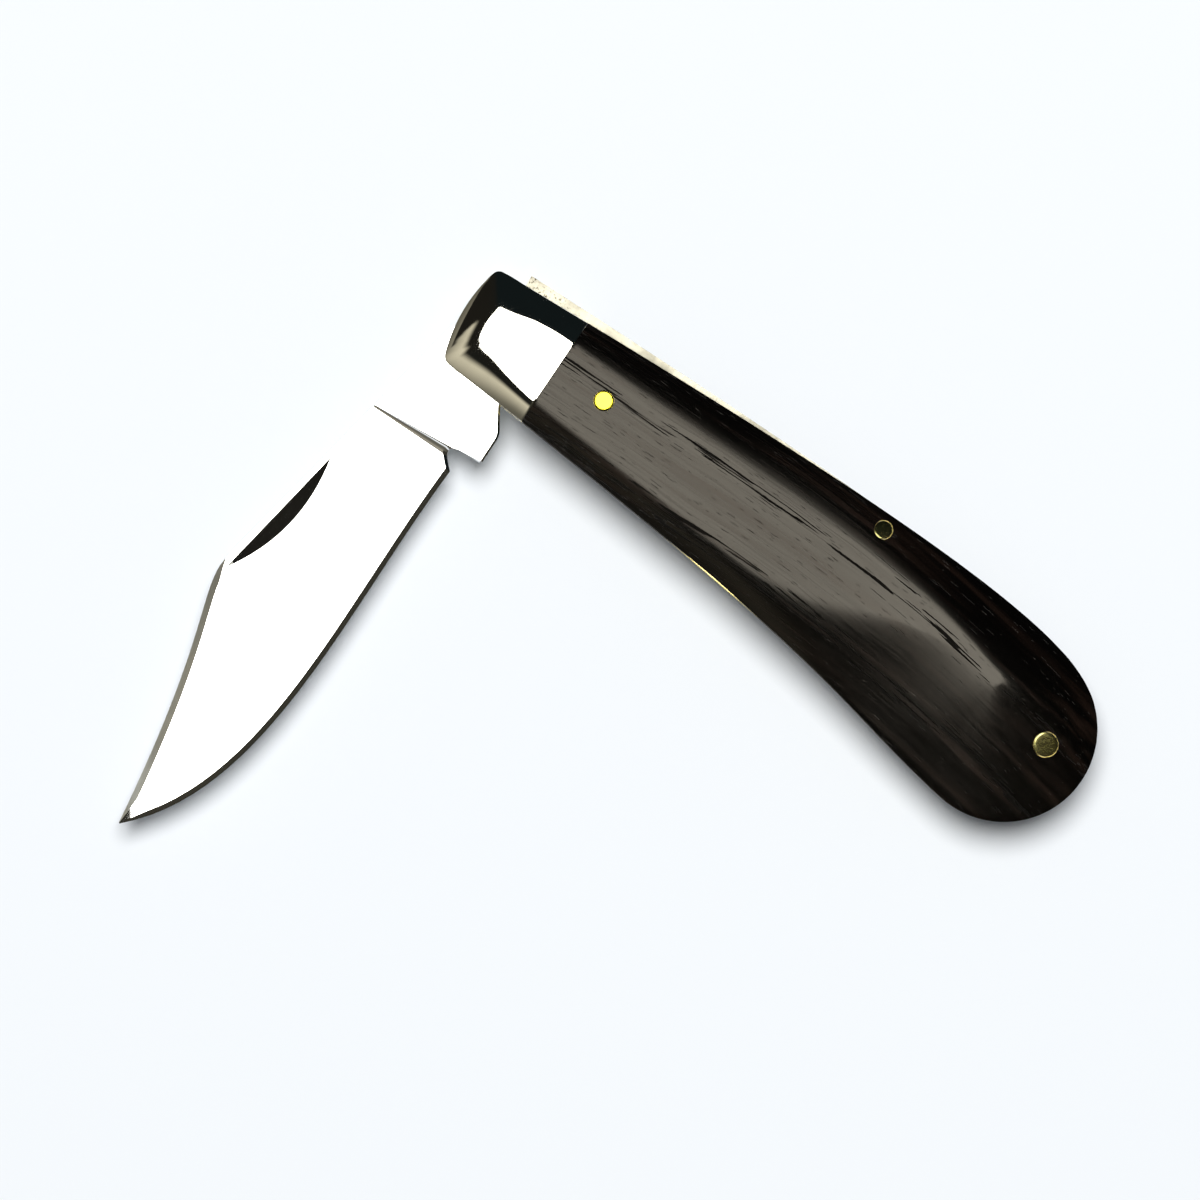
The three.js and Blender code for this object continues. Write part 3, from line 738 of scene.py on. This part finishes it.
# %% [markdown]
# Finishes are built from nodes. One helper makes a node, sets its values and joins it to what
# feeds it. All patterns read Object coordinates, turned into millimetres, so that a scale of 1
# is one change each millimetre, and the pattern stays on the piece when the knife moves.

# %% Helpers for finishes


def wire(tree, kind, inputs, **settings):
    made = tree.nodes.new("ShaderNode" + kind)
    for name, value in settings.items():
        setattr(made, name, value)
    for socket, value in inputs.items():
        if isinstance(value, bpy.types.NodeSocket):
            tree.links.new(value, made.inputs[socket])
        else:
            made.inputs[socket].default_value = value
    return made.outputs


def calc(tree, operation, *values):
    return wire(tree, "Math", dict(enumerate(values)), operation=operation)[0]


def times(tree, a, b):
    return calc(tree, "MULTIPLY", a, b)


def spread(tree, value, low, high, start=0.0, end=1.0):
    """Turns a stretch of values into another, with soft ends."""
    inputs = {"Value": value, "From Min": low, "From Max": high, "To Min": start, "To Max": end}
    return wire(tree, "MapRange", inputs, interpolation_type="SMOOTHSTEP")[0]


def millimetres(tree):
    """The place on the piece as x, y and z, each in millimetres."""
    place = wire(tree, "TexCoord", {})["Object"]
    scaled = wire(tree, "VectorMath", {0: place, 3: 1 / MM}, operation="SCALE")[0]
    return wire(tree, "SeparateXYZ", {0: scaled})


def noise(tree, x, y, z, scale=1.0, detail=2.0, roughness=0.5):
    place = wire(tree, "CombineXYZ", {0: x, 1: y, 2: z})[0]
    inputs = {"Vector": place, "Scale": scale, "Detail": detail, "Roughness": roughness}
    return wire(tree, "TexNoise", inputs)[0]


def blend_colours(tree, share, a, b):
    inputs = {0: share, 6: a, 7: b}
    return wire(tree, "Mix", inputs, data_type="RGBA")[2]


def new_finish(name):
    material = bpy.data.materials.new(name)
    material.use_nodes = True
    material.node_tree.nodes.clear()
    return material, material.node_tree


def close_finish(tree, shader, height=None, depth=0.0):
    if height is not None:
        bump = wire(tree, "Bump", {"Height": height, "Distance": depth, "Strength": 1.0})[0]
        tree.links.new(bump, shader.node.inputs["Normal"])
    wire(tree, "OutputMaterial", {"Surface": shader})


print("finish helpers are ready")

# %% [markdown]
# Polished metal is a mirror with faults: hair scratches along the way it was polished, and a
# faint waviness that bends the reflections. The base colour is the reflectance of the alloy.
# Roughness varies a little along the scratches, and a shallow bump carries the wave. The brass
# comes in three states: bright on the scale pins, plain on the sheet, and on the centre and butt
# pins a darker, olive brass that is painted shade for the dark room their sloped ends reflect.

# %% Polished and brushed metals
SCRATCH_STRETCH = 0.08
SCRATCHES_SHOW = (0.35, 0.75)
HAZE_SCALE = 0.35
HAZE_SHOWS = (0.4, 0.7)
WEAR_SHOWS = (0.35, 0.75)
WORN_SHARE = 0.93
SPECKS_FROM = -2.0
SPECKS_REACH = 9.0
SPECK_SCALE = 3.2
SPECKS_SHOW = (0.56, 0.64)
SPECK_COLOUR = (0.05, 0.04, 0.028, 1)


def metal(name, colour, roughness, grain, scratch=0.012, depth=0.0, along="x", finish=None):
    """A polished or brushed metal. The higher the grain, the finer are its scratches."""
    material, tree = new_finish(name)
    x, y, z = millimetres(tree)
    long, short = (x, y) if along == "x" else (y, x)
    hair = noise(
        tree, times(tree, long, SCRATCH_STRETCH), times(tree, short, grain),
        times(tree, z, grain), detail=3.0, roughness=0.65,
    )
    haze = noise(tree, x, y, z, scale=HAZE_SCALE, detail=3.0)
    rough = calc(tree, "ADD", spread(tree, hair, *SCRATCHES_SHOW, 0.0, scratch), roughness)
    rough = calc(tree, "ADD", spread(tree, haze, *HAZE_SHOWS, 0.0, scratch), rough)
    worn = tuple(c * WORN_SHARE for c in colour[:3]) + (1,)
    tint = blend_colours(tree, spread(tree, haze, *WEAR_SHOWS), colour, worn)
    if finish:
        tint = finish(tree, x, y, z, tint)
    shader = wire(tree, "BsdfPrincipled", {
        "Base Color": tint, "Metallic": 1.0, "Roughness": rough,
    })[0]
    close_finish(tree, shader, hair, depth)
    return material


def specks(tree, x, y, z, tint):
    """Small dark specks of old oil at the free end of the spring, fading along it."""
    spots = noise(tree, x, y, z, scale=SPECK_SCALE, detail=3.0, roughness=0.6)
    near_end = spread(tree, x, SPECKS_FROM, SPECKS_REACH, 1.0, 0.0)
    share = times(tree, spread(tree, spots, *SPECKS_SHOW), near_end)
    return blend_colours(tree, share, tint, SPECK_COLOUR)


blade_steel = metal(
    "blade_steel", (0.90, 0.90, 0.89, 1), roughness=0.05, grain=9.0, depth=0.0005 * MM,
)
ground_steel = metal(
    "ground_steel", (0.60, 0.61, 0.585, 1), roughness=0.30, grain=14.0, scratch=0.06,
    depth=0.002 * MM,
)
nickel_silver = metal(
    "nickel_silver", (0.90, 0.885, 0.80, 1), roughness=0.035, grain=7.0, scratch=0.02,
    depth=0.0006 * MM,
)
spring_steel = metal(
    "spring_steel", (0.32, 0.305, 0.25, 1), roughness=0.30, grain=12.0, scratch=0.08,
    depth=0.004 * MM, along="y", finish=specks,
)
brass = metal(
    "brass", (0.92, 0.80, 0.05, 1), roughness=0.17, grain=8.0, scratch=0.05,
    depth=0.0015 * MM,
)
sheet_brass = metal(
    "sheet_brass", (0.80, 0.66, 0.26, 1), roughness=0.24, grain=8.0, scratch=0.05,
    depth=0.0015 * MM,
)
# Painted shade: the centre and butt pins get a darker brass colour that stands in for the dark room
# their sloped ends reflect.
shade_painted_brass = metal(
    "shade_painted_brass", (0.50, 0.46, 0.18, 1), roughness=0.16, grain=6.0, scratch=0.06,
    depth=0.002 * MM,
)
metals = (blade_steel, ground_steel, nickel_silver, spring_steel, brass, sheet_brass, shade_painted_brass)
print("metals:", [m.name for m in metals])

# %% [markdown]
# The scales are a dense, near-black wood with open pores. Three things make it wood: streaks that
# follow the grain, short dark pores that lie along it, and a few deep open pores in bands, which
# break the highlight. The grain runs slightly down toward the butt and bends more near it, so
# all patterns are laid out in a height above that bent line, and stretched along it. The hand
# polishes the butt, so the wood gets smoother toward it.

# %% Dark wood
GRAIN_SLOPE = 0.055
GRAIN_BEND = 0.0023
GRAIN_BENDS_FROM = 35.0
WANDER = 0.9
RAGGED = 0.12
PORE_BANDS = ((2.6, 0.9), (-6.4, 1.7))
MORE_PORES_IN_BAND = 0.18
LONG_PORES_SHOW = (0.75, 0.785)
SHORT_PORES_SHOW = (0.70, 0.78)
SHORT_PORE_SHARE = 0.35
PORE_ROUGHNESS = 0.9
PORE_DEPTH = 0.05 * MM
FIBRE_RELIEF = 0.10
STREAKS_SHOW = (0.45, 0.8)
DULL_STREAKS = (0.35, 0.7)
WOOD_ROUGHNESS = (0.19, 0.31)
HANDLED_FROM_TO = (40.0, 66.0)
HANDLED_ROUGHNESS = 0.7
WOOD_TINT = (1.0, 0.93, 0.82, 1)
DARKEST = (0.0009, 0.0007, 0.0006, 1)
BROWN = (0.010, 0.0055, 0.0038, 1)
IN_PORES = (0.0006, 0.0005, 0.0005, 1)


def dark_wood():
    material, tree = new_finish("dark_wood")
    x, y, z = millimetres(tree)
    past = calc(tree, "MAXIMUM", calc(tree, "SUBTRACT", x, GRAIN_BENDS_FROM), 0.0)
    bend = times(tree, times(tree, past, past), GRAIN_BEND)
    bent = calc(tree, "ADD", calc(tree, "MULTIPLY_ADD", x, GRAIN_SLOPE, y), bend)

    def unrest(along, across, amount, detail):
        """How far the grain strays from the bent line, in millimetres."""
        wave = noise(tree, times(tree, x, along), times(tree, bent, across), z, detail=detail)
        return times(tree, calc(tree, "SUBTRACT", wave, 0.5), amount)

    line = calc(tree, "ADD", bent, unrest(0.06, 0.12, WANDER, 1.0))
    line = calc(tree, "ADD", line, unrest(2.5, 2.5, RAGGED, 2.0))

    def grain(along, across, detail=2.0, roughness=0.5):
        return noise(
            tree, times(tree, x, along), times(tree, line, across),
            times(tree, z, across * 0.6), detail=detail, roughness=roughness,
        )

    streaks = grain(0.025, 0.9, 4.0, 0.6)
    fibres = grain(0.06, 4.5, 3.0, 0.7)
    short_pores = spread(tree, grain(0.40, 7.0, 1.0), *SHORT_PORES_SHOW)
    short_pores = times(tree, short_pores, SHORT_PORE_SHARE)
    band = 0.0
    for height, width in PORE_BANDS:
        off = calc(tree, "ABSOLUTE", calc(tree, "SUBTRACT", line, height))
        band = calc(tree, "MAXIMUM", spread(tree, off, width * 0.5, width, 1.0, 0.0), band)
    long_pores = calc(tree, "ADD", grain(0.13, 3.6, 1.0), times(tree, band, MORE_PORES_IN_BAND))
    long_pores = spread(tree, long_pores, *LONG_PORES_SHOW)
    pores = calc(tree, "MAXIMUM", short_pores, long_pores)

    brown = blend_colours(tree, spread(tree, streaks, *STREAKS_SHOW), DARKEST, BROWN)
    colour = blend_colours(tree, pores, brown, IN_PORES)
    rough = calc(tree, "MAXIMUM", fibres, streaks)
    rough = spread(tree, rough, *DULL_STREAKS, *WOOD_ROUGHNESS)
    rough = times(tree, rough, spread(tree, x, *HANDLED_FROM_TO, 1.0, HANDLED_ROUGHNESS))
    rough = calc(tree, "MAXIMUM", rough, times(tree, pores, PORE_ROUGHNESS))
    height = calc(tree, "SUBTRACT", times(tree, fibres, FIBRE_RELIEF), pores)
    shader = wire(tree, "BsdfPrincipled", {
        "Base Color": colour, "Roughness": rough, "IOR": 1.4, "Specular Tint": WOOD_TINT,
    })[0]
    close_finish(tree, shader, height, PORE_DEPTH)
    return material


wood = dark_wood()
print("wood:", len(wood.node_tree.nodes), "nodes")

# %% [markdown]
# Each piece gets its finish, stands for its node, and rides on the body that its node belongs
# to. The spring's arm gets a mesh of its own.

FINISHES = {
    "front_bolster_metal": (nickel_silver, "nickel_silver", "front_bolster"),
    "rear_bolster_metal": (nickel_silver, "nickel_silver", "rear_bolster"),
    "front_scale_wood": (wood, "dark_wood", "front_scale"),
    "rear_scale_wood": (wood, "dark_wood", "rear_scale"),
    "front_liner_brass": (sheet_brass, "brass", "front_liner"),
    "rear_liner_brass": (sheet_brass, "brass", "rear_liner"),
    "spring_arm": (spring_steel, "spring_steel", "backspring"),
    "spring_heel": (spring_steel, "spring_steel", "backspring"),
    "blade_ground": (blade_steel, "blade_steel", "blade"),
}
for pin in bright_pins:
    FINISHES[pin.name] = (brass, "brass", pin.name.removesuffix("_brass"))
# Painted shade: the darker brass colour on the centre and butt pins.
for pin in worn_and_shade_painted_pins:
    FINISHES[pin.name] = (shade_painted_brass, "brass", pin.name.removesuffix("_brass"))
for pin in steel_pins:
    FINISHES[pin.name] = (nickel_silver, "nickel_silver", pin.name.removesuffix("_metal"))

for name, (finish, slot, node) in FINISHES.items():
    piece = bpy.data.objects[name]
    piece.data.materials.clear()
    piece.data.materials.append(finish)
    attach(piece, "blade" if node == "blade" else "handle")
    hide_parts(node)
blade.data.materials.append(ground_steel)
for index in swedge:
    blade.data.polygons[index].material_index = 1
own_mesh(spring_arm)
bpy.data.objects.remove(blank)
print("pieces:", len(FINISHES))

# %% [markdown]
# The table is plain and pale. The camera sees it at its own colour, and it keeps the soft shadow
# of the knife. A little of its colour comes from emission that only the camera and mirrors see,
# so the table is pale without more light on the knife.

# %% Table
TABLE_SIZE = 6.0
TABLE_COLOUR = (0.815, 0.842, 0.866, 1)
TABLE_GLOW = (0.03, 0.032, 0.034, 1)
SKY_COLOUR = (0.939, 0.973, 1.0, 1)


def seen_directly(tree):
    """1 for what the camera, a mirror or glass sees, 0 for what lights the knife."""
    rays = wire(tree, "LightPath", {})
    seen = calc(tree, "MAXIMUM", rays["Is Camera Ray"], rays["Is Glossy Ray"])
    return calc(tree, "MAXIMUM", seen, rays["Is Transmission Ray"])


def table():
    only(blade)
    bpy.ops.mesh.primitive_plane_add(size=TABLE_SIZE, location=(0, 0, 0))
    piece = bpy.context.object
    piece.name = "table"
    material, tree = new_finish("table_paper")
    paper = wire(tree, "BsdfDiffuse", {"Color": TABLE_COLOUR})[0]
    glow = wire(tree, "Emission", {"Color": TABLE_GLOW, "Strength": seen_directly(tree)})[0]
    close_finish(tree, wire(tree, "AddShader", {0: paper, 1: glow})[0])
    piece.data.materials.append(material)


table()
print("table:", TABLE_SIZE, "m across")

# %% [markdown]
# Polished metal has no look of its own: it shows the studio. The studio here is a dark dome with
# a round light straight overhead, and a cream card low on the belly side. Mirrors alone see
# them. The light makes the flats of the blade and the bolster white, the dark gap round it
# draws their edges, and the card gives the bolster its warm side. Light and gap are drawn in a
# little toward the front corner of the bolster. Low down, above all over the butt, the room is
# paler, so that a mirror seen from the side isn't black. All angles are in degrees: the drop is
# counted from straight up, and the turn goes round from the butt by way of the back.

# %% What the studio shows
LIGHT_EDGE = 16.0
LIGHT_SOFT = 0.4
LIGHT_COLOUR = (6.2, 6.1, 5.7, 1)
GAP_EDGE = 32.0
CORNER_TURN = (195.0, 255.0, 30.0)
CORNER_IN = 4.0
GAP_CORNER_IN = 8.0
CARD_COLOUR = (0.67, 0.62, 0.49, 1)
CARD_FROM_TURN = (178.0, 193.0)
CARD_FROM_DROP = (GAP_EDGE, 66.0)
CARD_FOOT_TURN = 45.0
CARD_FOOT_DROP = (60.0, 74.0)
CARD_SOFT = 5.0
CARD_TO_TURN = (268.0, 290.0)
CARD_EDGE_DROP = (GAP_EDGE - 1.0, GAP_EDGE + 11.0)
CARD_FADE_DROP = (34.0, 76.0)
CARD_FADED = 0.17
HAZE_DROP = (80.0, 89.0)
HAZE = 0.2
PALE_DROP = (62.0, 80.0)
PALE = 0.35
NOT_PALE_TURN = (60.0, 310.0, 20.0)
FRONT_TURN = (130.0, 280.0, 40.0)
BELLY_TURN = (250.0, 300.0)
DARK_OVER_BACK = (0.006, 0.009, 0.010, 1)
DARK_OVER_FRONT = (0.012, 0.011, 0.009, 1)
DARK_OVER_BELLY = (0.040, 0.037, 0.028, 1)


def studio_paint():
    material, tree = new_finish("studio_dome")
    place = wire(tree, "TexCoord", {})["Object"]
    way = wire(tree, "VectorMath", {0: place}, operation="NORMALIZE")[0]
    x, y, z = wire(tree, "SeparateXYZ", {0: way})
    drop = calc(tree, "DEGREES", calc(tree, "ARCCOSINE", z))
    turn = calc(tree, "DEGREES", calc(tree, "ARCTAN2", y, x))
    turn = calc(tree, "MODULO", calc(tree, "ADD", turn, 360.0), 360.0)

    def within(low, high, soft):
        rise = spread(tree, turn, low, low + soft)
        return times(tree, rise, spread(tree, turn, high - soft, high, 1.0, 0.0))

    corner = within(*CORNER_TURN)
    to_light = calc(tree, "MULTIPLY_ADD", corner, CORNER_IN, drop)
    light = spread(tree, to_light, LIGHT_EDGE - LIGHT_SOFT, LIGHT_EDGE + LIGHT_SOFT, 1.0, 0.0)
    start = spread(tree, drop, *CARD_FROM_DROP, *CARD_FROM_TURN)
    start = calc(tree, "SUBTRACT", start, spread(tree, drop, *CARD_FOOT_DROP, 0.0, CARD_FOOT_TURN))
    card = spread(tree, calc(tree, "SUBTRACT", turn, start), 0.0, CARD_SOFT)
    card = times(tree, card, spread(tree, turn, *CARD_TO_TURN, 1.0, 0.0))
    to_card = calc(tree, "MULTIPLY_ADD", corner, GAP_CORNER_IN, drop)
    card = times(tree, card, spread(tree, to_card, *CARD_EDGE_DROP))
    card = times(tree, card, spread(tree, drop, *CARD_FADE_DROP, 1.0, CARD_FADED))
    pale = calc(tree, "SUBTRACT", 1.0, within(*NOT_PALE_TURN))
    pale = times(tree, pale, spread(tree, drop, *PALE_DROP, 0.0, PALE))
    pale = calc(tree, "MAXIMUM", spread(tree, drop, *HAZE_DROP, 0.0, HAZE), pale)
    dark = blend_colours(tree, within(*FRONT_TURN), DARK_OVER_BACK, DARK_OVER_FRONT)
    dark = blend_colours(tree, spread(tree, turn, *BELLY_TURN), dark, DARK_OVER_BELLY)
    glow = blend_colours(tree, pale, dark, SKY_COLOUR)
    glow = blend_colours(tree, card, glow, CARD_COLOUR)
    glow = blend_colours(tree, light, glow, LIGHT_COLOUR)
    close_finish(tree, wire(tree, "Emission", {"Color": glow})[0])
    return material


studio = studio_paint()
print("studio:", len(studio.node_tree.nodes), "nodes, light within", LIGHT_EDGE, "degrees")

# %% Studio dome
DOME_RADIUS = 0.9
DOME_CENTRE = (-0.0126, 0.0089, 0.0)
DOME_FOOT = 0.04 * DOME_RADIUS


def dome():
    bpy.ops.mesh.primitive_uv_sphere_add(
        segments=96, ring_count=48, radius=DOME_RADIUS, location=DOME_CENTRE,
    )
    piece = bpy.context.object
    piece.name = "studio_dome"
    pick(piece, "VERT", lambda v: v.co.z < DOME_FOOT)
    bpy.ops.mesh.delete(type="VERT")
    edit(piece)
    bpy.ops.mesh.normals_make_consistent(inside=True)
    done()
    piece.data.materials.append(studio)
    piece.visible_camera = False
    piece.visible_diffuse = False
    piece.visible_shadow = False
    piece.visible_transmission = False


dome()
print("dome:", DOME_RADIUS, "m in radius")

# %% [markdown]
# One soft lamp stands high over the top of the picture and gives the shadow. Mirrors don't see
# it. The world adds a little light from all round.

# %% Lamp and world
LAMP_WAY = Vector((-0.5128, 0.8586))
LAMP_HEIGHT_ANGLE = math.radians(73)
LAMP_DISTANCE = 3.0
LAMP_SIZE = 1.7
LAMP_POWER = 101.0
WORLD_LIGHT = 0.12
aim = Vector((30 * MM, -15 * MM, 5 * MM))
flat_way = LAMP_WAY.normalized() * math.cos(LAMP_HEIGHT_ANGLE)
lamp_way = Vector((flat_way.x, flat_way.y, math.sin(LAMP_HEIGHT_ANGLE)))

lamp_data = bpy.data.lights.new("soft_lamp", "AREA")
lamp_data.shape = "DISK"
lamp_data.size = LAMP_SIZE
lamp_data.energy = LAMP_POWER
lamp = bpy.data.objects.new("soft_lamp", lamp_data)
lamp.location = aim + lamp_way * LAMP_DISTANCE
lamp.rotation_euler = lamp_way.to_track_quat("Z", "Y").to_euler()
lamp.visible_glossy = False
bpy.context.scene.collection.objects.link(lamp)

world = bpy.data.worlds.new("pale_room")
bpy.context.scene.world = world
world.use_nodes = True
tree = world.node_tree
tree.nodes.clear()
strength = calc(tree, "MULTIPLY_ADD", seen_directly(tree), 1 - WORLD_LIGHT, WORLD_LIGHT)
sky = wire(tree, "Background", {"Color": SKY_COLOUR, "Strength": strength})[0]
wire(tree, "OutputWorld", {"Surface": sky})
print("lamp:", LAMP_POWER, "W at", LAMP_DISTANCE, "m")

# %% [markdown]
# The photograph looks straight down, and the handle runs down to the right in it. A long lens
# keeps the perspective as weak as it is there.

# %% Camera
PICTURE_TURN = math.radians(30.85)
PICTURE_WIDTH = 147.06 * MM
PICTURE_CENTRE = Vector((25.0, -20.8)) * MM
PICTURE_LEVEL = 8 * MM
LENS = 250.0
SENSOR = 36.0

camera_data = bpy.data.cameras.new("camera")
camera_data.lens = LENS
camera_data.sensor_width = SENSOR
camera_data.sensor_fit = "HORIZONTAL"
camera = bpy.data.objects.new("camera", camera_data)
distance = PICTURE_WIDTH * LENS / SENSOR
camera.location = (PICTURE_CENTRE.x, PICTURE_CENTRE.y, PICTURE_LEVEL + distance)
camera.rotation_euler = (0, 0, PICTURE_TURN)
bpy.context.scene.collection.objects.link(camera)
bpy.context.scene.camera = camera
bpy.context.scene.view_settings.view_transform = "Standard"
print("camera:", round(distance, 3), "m above the knife")
